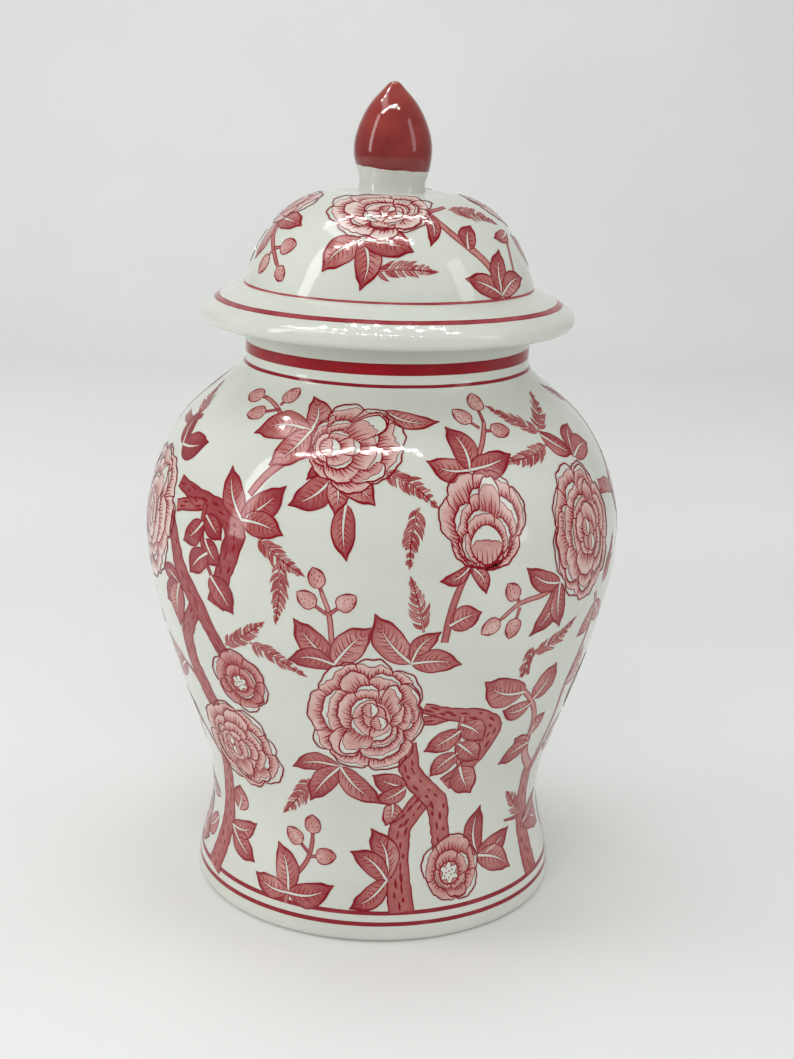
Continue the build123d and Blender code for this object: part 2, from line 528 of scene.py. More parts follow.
def fern(pen, length, bend=0.0, reach=7.6):
    """Feathery frond: a rib with forward-curved pointed leaflets on both sides."""
    rng = pen.random
    n = pen.steps(length)
    t = np.linspace(0, 1, n + 1)
    spine = bend * length * np.sin(math.pi * t)
    pairs = max(5, round(length / 3.3))
    for k in range(pairs):
        a = 0.08 + 0.84 * k / (pairs - 1)
        long = reach * (0.6 + 0.4 * math.sin(math.pi * min(1, 0.2 + a))) * (1 - 0.66 * a**3)
        for sign in (-1, 1):
            size = min(long, 0.34 * length) * rng.uniform(0.78, 1.2)
            lean = math.radians(rng.uniform(50, 66))
            at = length * a + rng.uniform(-0.6, 0.6)
            points = [(at, np.interp(a, t, spine))]
            for q in (0, 1, 2, 3):
                turn = lean - math.radians(12 * q)
                u, v = points[-1]
                points.append((u + size / 4 * math.cos(turn), v + sign * size / 4 * math.sin(turn)))
            pen.line(points, [1.7, 2.4, 2.3, 1.4, 0.15], sheet="wash", tone=rng.uniform(0.2, 0.5),
                     lift=-LINE_LIFT)
            for shift, weight in ((1.05, 0.4), (-1.05, 0.28)):
                edge = [(q[0] + shift * math.sin(math.pi * (0.15 + 0.85 * i / 4)), q[1])
                        for i, q in enumerate(points)]
                pen.line(edge, [weight * 0.7, weight, weight, weight * 0.8, 0.15])
            if rng.random() < 0.6:
                pen.line(points[:4], [0.6, 0.4, 0.12], sheet="hatch", lift=HATCH_SINK)
    end_leaf = [(length * 0.9, spine[-2] * 0.5), (length, 0), (length * 1.08, 0)]
    pen.line(end_leaf, [1.6, 1.9, 0.15], sheet="wash", tone=0.6, lift=-LINE_LIFT)
    rib = np.column_stack([length * t, spine])
    pen.line(rib, [1.3, 1.0, 0.5], lift=0.01)
    pen.line(rib[: max(3, int(0.7 * n))], [0.7, 0.4, 0.12], sheet="wash", tone=0.3, lift=0.02)


def strip(pen, points, widths, tone, edge, line, rough=0.0, dashes=0, gnarled=False):
    """Stem, twig or trunk along points (azimuth, height), with drawn edges."""
    rng = pen.random
    path = [pen.along(q) for q in points]
    if gnarled:
        pieces = [straight(a, b, 1.5)[:-1] for a, b in zip(path, path[1:])]
        curve = np.array(sum(pieces, []) + [path[-1]])
        for _ in range(4):
            curve[1:-1] = (curve[:-2] + curve[1:-1] + curve[2:]) / 3
        curve = curve[:: 1 if len(curve) < 8 else 2]
    elif len(path) > 2:
        curve = np.array(spline(path, step=pen.skin.cell))
    else:
        curve = np.array(straight(*path, pen.skin.cell))
    n = len(curve)
    d, side = directions(curve)
    wide = np.interp(np.linspace(0, 1, n), np.linspace(0, 1, len(widths)), widths) / 2
    rights = curve - side * (wide + wobble(rng, n, edge) + jags(rng, n, rough))[:, None]
    lefts = curve + side * (wide + wobble(rng, n, edge) + jags(rng, n, rough))[:, None]
    dark = rng.uniform(-0.08, 0.08)
    pen.wash(rights, lefts, lambda a, c: tone + dark + 0.16 * abs(2 * c - 1) ** 3)
    for track in (rights, lefts):
        pen.line(track, [line * rng.uniform(0.7, 1.3) for _ in range(max(3, n // 3))])
    for m in range(dashes):
        k = min(n - 2, max(1, round((m + rng.uniform(0.2, 0.8)) / dashes * (n - 1))))
        offset = (rng.uniform(0.15, 0.62) if m % 2 else rng.uniform(-0.62, -0.05)) * wide[k]
        long = rng.uniform(2.6, 6.4)
        a = curve[k] + side[k] * offset - d[k] * long / 2
        b = curve[k] + side[k] * (offset + rng.uniform(-0.3, 0.3)) + d[k] * long / 2
        weight = rng.uniform(1.0, 1.9)
        pen.line([a, a * 0.6 + b * 0.4, a * 0.3 + b * 0.7, b], [0.5, weight, weight * 0.9, 0.4], lift=-0.01)


def ellipse_curve(centre, a, b, samples, rng, petals, depth, phase, frill=0.012):
    """Scalloped closed curve: its angles and points, and each point's petal and how far across that it is."""
    cuts = [phase + 2 * math.pi * (k + rng.uniform(-0.22, 0.22)) / petals for k in range(petals)]
    cuts.append(cuts[0] + 2 * math.pi)
    swell = [rng.uniform(0.45, 1.2) for _ in range(petals)]
    theta = np.linspace(cuts[0], cuts[-1], samples + 1)
    points, petal, place = [], [], []
    for angle in theta:
        j = min(petals - 1, max(0, int(np.searchsorted(cuts, angle, side="right")) - 1))
        u = (angle - cuts[j]) / (cuts[j + 1] - cuts[j])
        grow = 1 - depth + depth * swell[j] * math.sin(math.pi * min(1, max(0, u))) ** 0.5
        grow += frill * math.sin(angle * 17 + 3 * j) + frill * 0.7 * math.sin(angle * 29 + j)
        points.append((centre[0] + a * grow * math.cos(angle), centre[1] + b * grow * math.sin(angle)))
        petal.append(j)
        place.append(u)
    return theta, np.array(points), np.array(petal), np.array(place)


def resample(theta, points, at):
    """The closed curve's points at other angles."""
    base = theta[0]
    angle = base + np.mod(at - base, 2 * math.pi)
    return np.column_stack([np.interp(angle, theta, points[:, 0]), np.interp(angle, theta, points[:, 1])])


def oval(pen, centre, a, b, tilt, white=0.4, tone=0.3):
    """Furled inner petal: an oval, white on one side and hatched on the other."""
    rng = pen.random
    n = 20
    t = np.linspace(0, 1, n + 1)
    half = b * hump(t, 0.62)
    c, s = math.cos(tilt), math.sin(tilt)

    def put(u, v):
        return np.column_stack([centre[0] + u * c - v * s, centre[1] + u * s + v * c])

    u = a * (2 * t - 1)
    uneven = wobble(rng, n + 1, 0.12 * b) * np.sin(math.pi * t) + jags(rng, n + 1, 0.1 * b)
    middle = np.minimum(-half + 2 * half * white + uneven, half)
    pen.wash(put(u, -half), put(u, half), 0.0, sheet="reserve", lift=0.03)
    pen.wash(put(u, middle), put(u, half), lambda q, w: tone - 0.1 * w, sheet="petal", lift=0.04)
    pen.line(put(u, middle), [0.3, 0.55, 0.55, 0.3], lift=0.03)
    for side in (-1, 1):
        pen.line(put(u, side * half), [0.55, 0.8, 0.55], lift=0.03)
    for k in range(5):
        w = 0.2 + 0.15 * k
        x, low, high = np.interp(w, t, u), np.interp(w, t, middle), np.interp(w, t, half)
        ends = put(np.array([x, x + 0.3]), np.array([high, high + (low - high) * 0.6]))
        pen.line([ends[0], (ends[0] + ends[1]) / 2, ends[1]], [0.7, 0.5, 0.14], sheet="hatch", lift=0.03)


def star_centre(pen, a, b):
    """Open centre of a small flower: a white ragged star with dark dots."""
    rng = pen.random
    n = 36
    theta = np.linspace(0, 2 * math.pi, n + 1)
    reach = 0.8 + 0.16 * np.cos(theta * 6) + np.array([rng.uniform(-0.05, 0.05) for _ in range(n)] + [0])
    reach[-1] = reach[0]
    rim = np.column_stack([a * reach * np.cos(theta), b * reach * np.sin(theta)])
    hub = rim * 0.02
    pen.wash(rim, hub, 0.0, sheet="reserve", lift=0.012)
    pen.line(rim, 0.5, lift=0.02)
    for k in range(9):
        angle, far = 2 * math.pi * k * 0.618, 0.6 * math.sqrt((k + 0.4) / 9)
        u, v = a * far * math.cos(angle), b * far * math.sin(angle)
        pen.spot(u, v, 0.45, [0.5, 0.95, 0.5], lift=0.03)


def petal_hatching(pen, roots, rims, lift, spacing=1.9):
    """Brush strokes that fan out from the foot of a petal towards its rim."""
    rng = pen.random
    around = distances(roots)
    count = max(2, int(around[-1] / spacing))
    for m in range(count):
        travelled = (m + 0.5 + rng.uniform(-0.25, 0.25)) * around[-1] / count
        at = np.interp(travelled, around, np.arange(len(roots)))
        lo = int(min(at, len(roots) - 2))
        mix = at - lo
        start = roots[lo] * (1 - mix) + roots[lo + 1] * mix
        stop = rims[lo] * (1 - mix) + rims[lo + 1] * mix
        end = start + (stop - start) * rng.choice((0.42, 0.55, 0.7))
        drift = (stop - start)[::-1] * np.array([-1, 1]) * rng.uniform(-0.04, 0.04)
        pen.line([start, (start + end) / 2 + drift, end], [0.85, 0.6, 0.14], sheet="hatch", lift=lift)


def folded_petal(pen, curves, hub, tone, lift):
    """One large petal that opens across the rings of a flower, with long hatching."""
    rng = pen.random
    low = rng.randint(1, len(curves) - 2)
    theta, outer = curves[min(low + 1 + rng.randint(0, 1), len(curves) - 1)][:2]
    middle = rng.uniform(0, 2 * math.pi)
    spread = rng.uniform(0.36, 0.56)
    n = 18
    turn = np.linspace(middle - spread, middle + spread, n + 1)
    across = np.linspace(0, 1, n + 1)
    rim = resample(theta, outer, turn) - hub
    root = (resample(*curves[low][:2], turn) - hub) * 0.92
    swell = hump(across, 0.4, 0.002) * (1 + wobble(rng, n + 1, 0.05))
    pinch = (0.82 + 0.18 * across) if rng.random() < 0.5 else (1 - 0.18 * across)
    edge = hub + root + (rim * 0.97 - root) * (swell * pinch)[:, None]
    root = hub + root
    white = rng.choice((0.08, 0.2, 0.3))
    share = white * np.sin(math.pi * across) ** 0.7 * (1 + jags(rng, n + 1, 0.4))
    border = edge + (root - edge) * share[:, None]
    pen.wash(edge, border + (edge - border) * 0.02, 0.0, sheet="reserve", lift=lift)
    pen.wash(border, root, lambda q, c: tone + 0.3 * c**2, sheet="petal", lift=lift + 0.008)
    pen.line(edge, [0.6, 0.9, 0.9, 0.6], lift=lift + 0.012)
    pen.line(border, [0.2, 0.5, 0.2], lift=lift + 0.01)
    petal_hatching(pen, root, border, lift + 0.01, spacing=1.7)


def flower_rings(rng, a, b, eye, eye_size, petals):
    """The scalloped edges of a flower's rings, from its heart outwards."""
    rings = len(petals)
    samples = max(48, int(2 * math.pi * max(a, b) / 1.7))
    curves = []
    for k in range(rings + 1):
        f = k / rings
        size = eye_size + (1 - eye_size) * f**1.05
        shift = (1 - f) ** 0.9
        drift, depth = (0.05, 0.27) if 0 < k < rings else (0.0, 0.16)
        along = (eye[0] * shift + rng.uniform(-drift, drift)) * a
        across = (eye[1] * shift + rng.uniform(-drift, drift)) * b
        count = petals[k - 1] if k else 4
        phase = rng.uniform(0, 2 * math.pi) if k else 0.0
        curves.append(ellipse_curve((along, across), a * size, b * size, samples, rng, count, depth, phase))
    return curves


def ring_of_petals(pen, ring, within, count, margins, tone):
    """One ring of petals between two scalloped edges: wash, white margins, outlines and hatching."""
    rng = pen.random
    theta, outer, petal, place = ring
    inner = resample(*within[:2], theta)
    white = [rng.choice(margins) for _ in range(count)]
    rim = np.array([white[j] for j in petal]) * hump(place, 0.7)
    rim = rim * (1 + jags(rng, len(rim), 0.35)) + 0.02
    rim[-1] = rim[0]
    border = outer + (inner - outer) * rim[:, None]
    core = inner + (outer - inner) * 0.02
    pen.wash(border, core, lambda q, c: tone - 0.06 + 0.34 * c**2, sheet="petal")
    for j in range(count):
        of_petal = np.where(petal == j)[0]
        first, last = of_petal[0], min(of_petal[-1] + 1, len(outer) - 1)
        if last - first < 3:
            continue
        weight = rng.uniform(0.72, 0.95)
        pen.line(outer[first:last + 1], [weight * 0.8, weight * 1.15, weight * 0.8], lift=0.008)
        if white[j] > 0.15:
            pen.line(border[first:last + 1], [0.3, 0.5, 0.3])
        start = outer[first]
        stop = start + (inner[first] - start) * rng.uniform(0.75, 1.0)
        side = (stop - start)[::-1] * np.array([-1, 1]) * rng.uniform(-0.15, 0.15)
        pen.line([start, (start + stop) / 2 + side, stop], [0.85, 0.7, 0.35])
    petal_hatching(pen, inner, border, 0.0)


def flower_heart(pen, heart, wide, tall, centre, tone):
    """The middle of a flower: a star, a pair of furled petals, or a cup that lies or stands."""
    rng = pen.random
    middle = heart.mean(axis=0)
    pen.wash(heart, middle + (heart - middle) * 0.03, lambda q, c: tone + 0.3 * c, sheet="petal")
    pen.line(heart, 0.75)
    if centre == "star":
        star_centre(pen.moved(*middle), wide * 0.95, tall * 0.95)
    elif centre == "ovals":
        for sign in (-1, 1):
            spot = middle + np.array([sign * wide * 0.55, 0.35 * sign * tall])
            lean = rng.uniform(-0.25, 0.25) + math.pi * (rng.random() < 0.3)
            oval(pen, spot, wide * 0.62, tall * 0.66, lean)
    elif centre == "upright cup":
        oval(pen, middle, tall * 0.98, wide * 0.98, math.pi / 2, white=0.36)
    else:
        oval(pen, middle, wide * 0.98, tall * 0.94, 0.0, white=0.36)


INNER_MARGINS, OUTER_MARGINS = (0.06, 0.24, 0.32), (0.1, 0.26, 0.34)     # parts of a petal left white


def peony(pen, a, b, eye=(0, 0), eye_size=0.2, petals=(4, 5, 6, 7), centre="ovals", tone=0.19, folds=3):
    """Open flower with half sizes a (along the heading) and b (across), in rings of scalloped petals.

    eye is the centre's place in parts of the half sizes."""
    curves = flower_rings(pen.random, a, b, eye, eye_size, petals)
    for k, count in enumerate(petals, 1):
        margins = INNER_MARGINS if k < len(petals) else OUTER_MARGINS
        ring_of_petals(pen, curves[k], curves[k - 1], count, margins, tone)
    hub = np.array([eye[0] * a, eye[1] * b])
    for k in range(folds):
        folded_petal(pen, curves, hub, tone, FOLD_LIFT + FOLD_STEP * k)
    flower_heart(pen, curves[0][1], a * eye_size, b * eye_size, centre, tone)


# ---------------------------------------------------------------- composition
# A place is (azimuth in degrees, height in mm).
# Leaf groups: the node that the leaves spring from, then their tips, then the leaves' width to length.
BODY_LEAVES = [
    ((-0.5, 280), [(17, 276)], 0.3),
    ((-21.5, 270.5), [(-26, 284), (-39, 266), (-30, 254)], 0.5),
    ((-16.5, 262), [(-19, 250)], 0.36),
    ((-12, 253), [(-22.4, 238), (-11, 236), (-1.7, 241)], 0.5),
    ((-8.5, 241), [(-7.5, 215)], 0.42),
    ((-33.7, 228), [(-40.8, 251), (-23.6, 246.5), (-22.4, 224)], 0.46),
    ((-10.3, 161), [(-19.4, 184), (-1.4, 182.6), (-21.6, 160.5)], 0.46),
    ((7.6, 163), [(-1.1, 190), (13.9, 180), (19.7, 161)], 0.44),
    ((15.6, 183), [(23, 189)], 0.7),
    ((19.7, 212.5), [(12.8, 206)], 0.36),
    ((19.8, 212.5), [(23.7, 198)], 0.36),
    ((22.2, 256), [(10.8, 260.5), (18, 274), (35.3, 261)], 0.52),
    ((49.5, 266.5), [(59.4, 255)], 0.48),
    ((59.4, 254), [(67.5, 267), (72, 256)], 0.5),
    ((44.5, 197), [(34, 208.5), (37, 171), (47, 172)], 0.4),
    ((40.5, 137.5), [(26.7, 149)], 0.56),
    ((45, 131), [(50.8, 149.6)], 0.62),
    ((44.6, 128.5), [(34.4, 129)], 0.5),
    ((50, 107), [(54, 118)], 0.7),
    ((51, 101), [(43, 108), (39.4, 93)], 0.52),
    ((36.7, 39.5), [(36.7, 69), (52.5, 48.5), (51.2, 26.6)], 0.42),
    ((-10, 99.5), [(-25, 95), (-20.6, 75), (2.8, 77)], 0.42),
    ((9.2, 87.5), [(-0.9, 95.5), (0, 78.5)], 0.56),
    ((5.5, 78), [(3.6, 63.5)], 0.6),
    ((4.6, 33), [(-0.9, 62), (-7.6, 48), (-6.9, 18)], 0.44),
    ((-27.2, 21), [(-33.3, 46), (-40.8, 26), (-12.2, 29)], 0.46),
    ((-53, 54), [(-50.5, 70)], 0.72),
    ((-56.5, 43), [(-43, 51)], 0.42),
    ((-56, 42), [(-42, 30)], 0.44),
    ((-54, 186), [(-62, 191), (-63, 172), (-58, 160)], 0.5),
    ((-66, 252), [(-70.5, 268), (-53.6, 257.5)], 0.55),
    ((-68, 40), [(-78, 29)], 0.55),
    ((-68, 52), [(-80, 58)], 0.4),
    ((-62, 137), [(-74, 146), (-71, 124)], 0.46),
    ((66, 92), [(76, 104), (78, 88)], 0.46),
    ((62.5, 45), [(79, 34), (74, 58)], 0.42),
    ((64, 176), [(57.5, 160), (72, 164)], 0.48),
    ((61, 132), [(66, 150), (71, 133)], 0.5),
    ((79, 232), [(88, 246), (92, 229), (84, 214)], 0.5),
    ((92, 150), [(84, 170), (99, 168), (103, 150)], 0.46),
    ((94, 78), [(86, 98), (103, 92), (84, 74)], 0.46),
    ((93, 22), [(84, 46), (101, 48), (107, 24)], 0.44),
]
TWIG_LEAVES = [   # round leaves of a hanging twig: where the leaf leaves the twig, its tip
    ((-45.2, 222), (-51.8, 210)), ((-44.6, 226), (-38.6, 216)), ((-42.6, 208), (-48.8, 195)),
    ((-43.8, 214.5), (-38.4, 203)), ((-41.5, 197), (-35.2, 179.5)),
    ((22.6, 121), (13, 110)), ((22.4, 125), (30.6, 112)), ((23.2, 107), (16, 93.5)),
    ((22.8, 113), (31, 100)), ((25, 97.5), (31.4, 78.5)),
]
FERNS = [
    ((-0.3, 256), (12.2, 241)), ((8.3, 240.5), (6.2, 214)), ((-29, 222), (-17.5, 207)),
    ((-22.9, 212), (-23.8, 181)), ((-39.5, 160.5), (-27.5, 178)), ((-31.5, 166), (-18, 153)),
    ((9.8, 180), (6.6, 207)), ((50, 267.5), (36.5, 280)), ((50, 268.5), (62.8, 282)),
    ((49.5, 262), (32.5, 258)), ((40.2, 160), (53.2, 173)), ((39.2, 164), (38, 148)),
    ((-20, 89), (-30.3, 65)), ((60, 52), (48.8, 70.5)), ((-68, 266), (-80, 279)),
    ((66, 186), (72, 208)), ((-66, 96), (-76, 112)), ((88, 196), (98, 212)), ((88, 196), (94, 178)),
    ((90, 272), (79, 282)), ((91, 120), (84, 140)), ((91, 120), (99, 108)),
]
SPRIGS = [   # a stem, then its berries: point of the stem that each hangs from, and the berry's tip
    ([(-19, 264.5), (-30, 272), (-40, 279), (-45, 280.5)],
     [((-36.5, 278.5), (-33, 286.5)), ((-44, 280.5), (-53.5, 280)), ((-35.5, 277), (-46.5, 272.5))]),
    ([(-10.4, 162), (-10.8, 180), (-11.6, 192), (-12.8, 199)],
     [((-12.8, 199), (-15, 211)), ((-11.7, 188), (-18.4, 198)), ((-11.2, 188), (-5.2, 198.5))]),
    ([(22.6, 257), (27, 265), (31.4, 274.5)],
     [((31.4, 274.5), (32.6, 286.5)), ((29, 272.5), (22.4, 280.5)), ((30.4, 271.3), (39, 270.6))]),
    ([(44.5, 197), (38, 192.5), (32.6, 190.5), (28.6, 184.6)],
     [((32.4, 191.5), (29, 202)), ((28.6, 184.6), (23.4, 177)), ((32.8, 188.5), (31, 172))]),
    ([(-27.7, 15.5), (-26.6, 28), (-22.5, 38), (-20.4, 52)],
     [((-20.4, 52), (-20.2, 66.5)), ((-21.4, 43.5), (-29.6, 56)), ((-21.6, 42), (-12, 44.5))]),
    ([(94, 78), (93, 60), (91, 50)],
     [((91, 50), (90, 38)), ((92.6, 60), (85, 56)), ((92.6, 58), (99, 54))]),
]
TRUNKS = [   # course, widths in mm, number of dashes
    ([(-61, 224), (-56.5, 213), (-52.5, 193), (-47.2, 178), (-42.5, 160), (-39.5, 151)],
     [6, 7, 10.5, 11, 9, 8.5], 11),
    ([(-49, 175), (-55.4, 158), (-55.5, 141), (-52, 124), (-49.5, 113)], [7.5, 9.5, 10.5, 11, 10], 9),
    ([(-56, 84), (-59.2, 58), (-60, 38), (-63, 14.5)], [7, 10.5, 12, 14], 12),
    ([(-58.5, 237), (-48, 232.5), (-38, 229), (-34.6, 221), (-36.5, 206), (-40.8, 180)],
     [5.5, 8, 10.5, 11, 9, 10], 14),
    ([(-57, 225.5), (-52, 228.5), (-46, 230.5)], [5, 6, 5], 2),
    ([(11.6, 137), (19, 132), (28, 128.5), (33.2, 120), (31, 106), (26, 94), (20.4, 87)],
     [5, 6.5, 8.5, 10, 8, 8.5, 9], 14),
    ([(12, 129), (15.5, 129.6), (20, 130.8)], [4.6, 5.4, 4.5], 1),
    ([(8.6, 116), (9.3, 100), (13.6, 88), (19.8, 77), (22.4, 56), (23.4, 42)],
     [7.6, 9.4, 10.5, 11, 9.5, 9], 15),
    ([(15.2, 80), (8.4, 62), (7.6, 40), (9.4, 15.5)], [10, 10.5, 11, 13], 14),
    ([(58, 84), (61.2, 52), (63.4, 15)], [8, 11.5, 13], 12),
    ([(67, 236), (73, 234.5), (79.5, 230)], [6.5, 6.5, 5.5], 3),
]
TWIGS = [   # course and widths
    ([(-18, 262), (-25, 257.5), (-30.5, 248), (-33, 240)], [3.4, 4, 3.8, 3]),
    ([(-45.8, 231), (-44.4, 211), (-40.6, 194), (-39, 184)], [3.4, 2.6, 2, 1.2]),
    ([(22.4, 130), (22.8, 110), (26, 94), (29, 84)], [3, 2.6, 2.2, 1.2]),
    ([(19.4, 211.5), (16.4, 196), (14.8, 174)], [2.8, 3.4, 3.6]),
    ([(40.2, 138.5), (45, 129), (49.4, 113), (50.4, 98), (58.2, 82)], [2.4, 3.2, 4, 4.6, 6]),
    ([(50, 267.5), (56, 262.5), (59.6, 254)], [1.6, 2, 2.2]),
    ([(-66, 266), (-72, 262), (-80, 263)], [3, 4.4, 5]),
    ([(49.8, 53), (59.5, 50.5)], [1.0, 2.0]),
    ([(40, 148), (39.6, 158), (41, 162)], [1.2, 1.6, 1.2]),
    ([(92, 132), (91, 150)], [1.5, 2.4]),
    ([(93, 15), (93, 24)], [2.4, 2.0]),
    ([(79.5, 230), (86, 196), (92, 152)], [4.2, 3.6, 3]),
    ([(64, 176), (62, 183)], [2, 2.4]),
    ([(60.4, 82), (62.6, 110), (61, 132), (64, 156), (64, 176)], [3.4, 2.8, 2.4, 2, 1.6]),
    ([(61.4, 78), (64, 88), (66, 92)], [2.6, 2.2, 1.8]),
    ([(79.5, 230), (86.5, 252), (90, 273)], [2.6, 2.2, 1.4]),
    ([(79, 128), (83, 141), (90.5, 149)], [2.0, 2.4, 2.6]),
    ([(80, 124), (85, 123.5), (91, 120)], [2.2, 1.8, 1.4]),
    ([(-57, 82), (-62, 90), (-66, 97)], [2.4, 2, 1.4]),
    ([(-56, 130), (-59, 135), (-62, 137)], [2.6, 2.2, 1.8]),
]
PEONIES = [   # centre, half width and half height in mm, then how it is drawn
    ((-2.8, 132), 31, 36.5, dict(eye=(0.0, -0.14), eye_size=0.2, petals=(4, 5, 6, 8), folds=4)),
    ((-44, 99.5), 28.5, 27, dict(eye=(-0.1, 0.2), eye_size=0.2, petals=(4, 5, 6, 8))),
    ((-72.5, 214.5), 35, 38.5, dict(eye=(0.0, 0.1), eye_size=0.19, petals=(4, 5, 7, 8), tone=0.06)),
    ((54.5, 218.5), 28, 38.5, dict(eye=(-0.05, -0.12), eye_size=0.2, petals=(4, 5, 7, 8))),
    ((24, 234.5), 23.5, 26, dict(eye=(-0.5, 0.02), eye_size=0.38, petals=(4, 5, 6),
                             centre="upright cup", folds=2)),
    ((-7.5, 266.3), 25.5, 25, dict(eye=(-0.1, 0.5), eye_size=0.22, petals=(4, 5, 7), centre="cup",
                               folds=4)),
    ((-37, 141), 18.6, 18, dict(eye=(-0.05, 0.0), eye_size=0.3, petals=(4, 6), centre="star", folds=2,
                              tone=0.38)),
    ((26.6, 36.3), 17.2, 18.4, dict(eye=(-0.12, 0.1), eye_size=0.36, petals=(4, 5), centre="star", folds=1,
                                 tone=0.27)),
    ((79, 122), 17, 18, dict(eye=(0.0, 0.1), eye_size=0.34, petals=(4, 5), centre="star", folds=1)),
]
LID_LEAVES = [
    ((-12, 360), [(-27.4, 344), (-11, 336.5), (10, 355)], 0.5),
    ((-9, 358), [(-5.5, 343)], 0.4),
    ((19.4, 372.5), [(17.8, 357.6)], 0.3),
    ((36, 356), [(44, 366.5)], 0.6),
    ((48.3, 333.5), [(30.8, 342.5), (55, 354.7), (66, 339.5)], 0.46),
    ((72, 361.5), [(55.6, 360)], 0.4),
    ((-74, 365), [(-48, 363.6)], 0.4),
    ((-74, 363), [(-74.4, 344)], 0.5),
    ((86, 345), [(78, 360), (95, 358), (98, 342)], 0.46),
]
LID_FERNS = [((-6, 346), (18, 346)), ((37, 373.5), (67, 366)), ((84, 372), (100, 366))]
LID_SPRIGS = [
    ([(-67, 357.6), (-59, 351), (-51.7, 344.7)],
     [((-59.6, 351.5), (-44.6, 355)), ((-60, 350), (-63.4, 338.5)), ((-51.7, 344.7), (-45.5, 337.5))]),
]
LID_TWIGS = [
    ([(20.6, 372.5), (31, 362), (44.4, 347.6), (49, 332.5)], [3.4, 3.4, 3.6, 3.2]),
    ([(-82, 366), (-74, 364.5), (-66, 357)], [2.4, 2.8, 2.4]),
    ([(68, 360), (62, 350), (60, 342)], [1.6, 1.6, 1.4]),
    ([(20.6, 372.5), (36, 374.5)], [2.6, 2.0]),
]
LID_PEONIES = [
    ((-8, 373.6), 28, 21, dict(eye=(-0.1, -0.25), eye_size=0.22, petals=(4, 6, 8), tone=0.04)),
    ((97, 372.0), 22, 16, dict(eye=(0.0, 0.1), eye_size=0.24, petals=(4, 6))),
]


# Looks of a strip: tone, unevenness of its edges, weight of its outline, and whether it is rough and gnarled.
TRUNK_LOOK = dict(tone=0.46, edge=0.3, line=0.75, rough=0.8, gnarled=True)
TWIG_LOOK = dict(tone=0.42, edge=0.15, line=0.5)
FINE_TWIG_LOOK = dict(tone=0.4, edge=0.12, line=0.45)
STALK_LOOK = dict(tone=0.4, edge=0.05, line=0.4)
STEM_WIDTHS, STALK_WIDTHS = [3.0, 2.4, 2.0], [1.7, 1.5]
DASHES_DRAWN = 1.5    # dashes drawn for each one that a trunk is given
BERRY_PART, BERRY_LONGEST = 0.84, 11.5     # a berry takes this part of its stalk's course, but at most mm


class Painter:
    """Paints one side of a piece. The pens' seeds are counted from the side's own seed."""

    def __init__(self, skin, sheets, turn, seed):
        self.skin, self.sheets, self.turn, self.seed = skin, sheets, turn, seed

    def pen(self, start, end, lift, seed):
        return Pen(self.skin, self.sheets, start, end, self.turn, lift, self.seed + seed)

    def trunks(self, trunks):
        for g, (course, widths, dashes) in enumerate(trunks):
            pen = self.pen(course[0], None, TRUNK_STEP * (g % 3), g)
            strip(pen, course, widths, dashes=round(dashes * DASHES_DRAWN), **TRUNK_LOOK)

    def twigs(self, twigs, seed, lift, look):
        for g, (course, widths) in enumerate(twigs):
            strip(self.pen(course[0], None, lift, seed + g), course, widths, **look)

    def twig_leaves(self, leaves, seed=80):
        """Round leaves, of which two neighbours never lie at one height."""
        for g, (root, tip) in enumerate(leaves):
            pen = self.pen(root, tip, MOTIF_LIFT * (2 + g % 3 * 0.6), seed + g)
            leaf(pen, pen.length, 0.64, pen.random.uniform(-0.22, 0.22), 0.5, veins=5)

    def leaves(self, groups, seed=100):
        """Groups of leaves that spring from one node, each leaf above the one before it."""
        for g, (node, tips, ratio) in enumerate(groups):
            for k, tip in enumerate(tips):
                pen = self.pen(node, tip, MOTIF_LIFT * (1 + k), seed + 31 * g + k)
                bend = pen.random.choice((-1, 1)) * pen.random.uniform(0.08, 0.3)
                tone = pen.random.uniform(0.38, 0.6)
                leaf(pen, pen.length, ratio * pen.random.uniform(1.0, 1.16), bend, tone,
                     veins=max(4, round(pen.length / 3.8)))

    def ferns(self, ferns, bend=None, seed=200):
        """Fronds with the same bend, or each with its own."""
        for g, (root, tip) in enumerate(ferns):
            pen = self.pen(root, tip, MOTIF_LIFT, seed + g)
            fern(pen, pen.length, pen.random.uniform(-0.08, 0.08) if bend is None else bend)

    def sprigs(self, sprigs, seed=300):
        """Stems, the stalks that branch from them, and a berry at each stalk's end."""
        for g, (stem, berries) in enumerate(sprigs):
            strip(self.pen(stem[0], None, 0.01, seed + g), stem, STEM_WIDTHS, **FINE_TWIG_LOOK)
            for k, (root, tip) in enumerate(berries):
                pen = self.pen(root, tip, MOTIF_LIFT, seed + 17 * g + k)
                part = 1 - min(pen.length * BERRY_PART, BERRY_LONGEST) / max(pen.length, 1e-6)
                strip(pen, [root, between(root, tip, part + 0.1)], STALK_WIDTHS, **STALK_LOOK)
                pen = self.pen(between(root, tip, part), tip, MOTIF_LIFT * 2, seed + 23 * g + k)
                berry(pen, pen.length)

    def peonies(self, peonies, seed=400):
        for g, (centre, wide, tall, look) in enumerate(peonies):
            peony(self.pen(centre, None, MOTIF_LIFT * 4, seed + g), tall, wide, **look)


def draw_side(painter):
    """The whole picture on one side of the body."""
    painter.trunks(TRUNKS)
    painter.twigs(TWIGS, 50, MOTIF_LIFT, TWIG_LOOK)
    painter.twig_leaves(TWIG_LEAVES)
    painter.leaves(BODY_LEAVES)
    painter.ferns(FERNS)
    painter.sprigs(SPRIGS)
    painter.peonies(PEONIES)


def draw_lid(painter):
    """The whole picture on one side of the lid."""
    painter.twigs(LID_TWIGS, 0, 0.0, FINE_TWIG_LOOK)
    painter.leaves(LID_LEAVES)
    painter.ferns(LID_FERNS, bend=0.04)
    painter.sprigs(LID_SPRIGS)
    painter.peonies(LID_PEONIES)


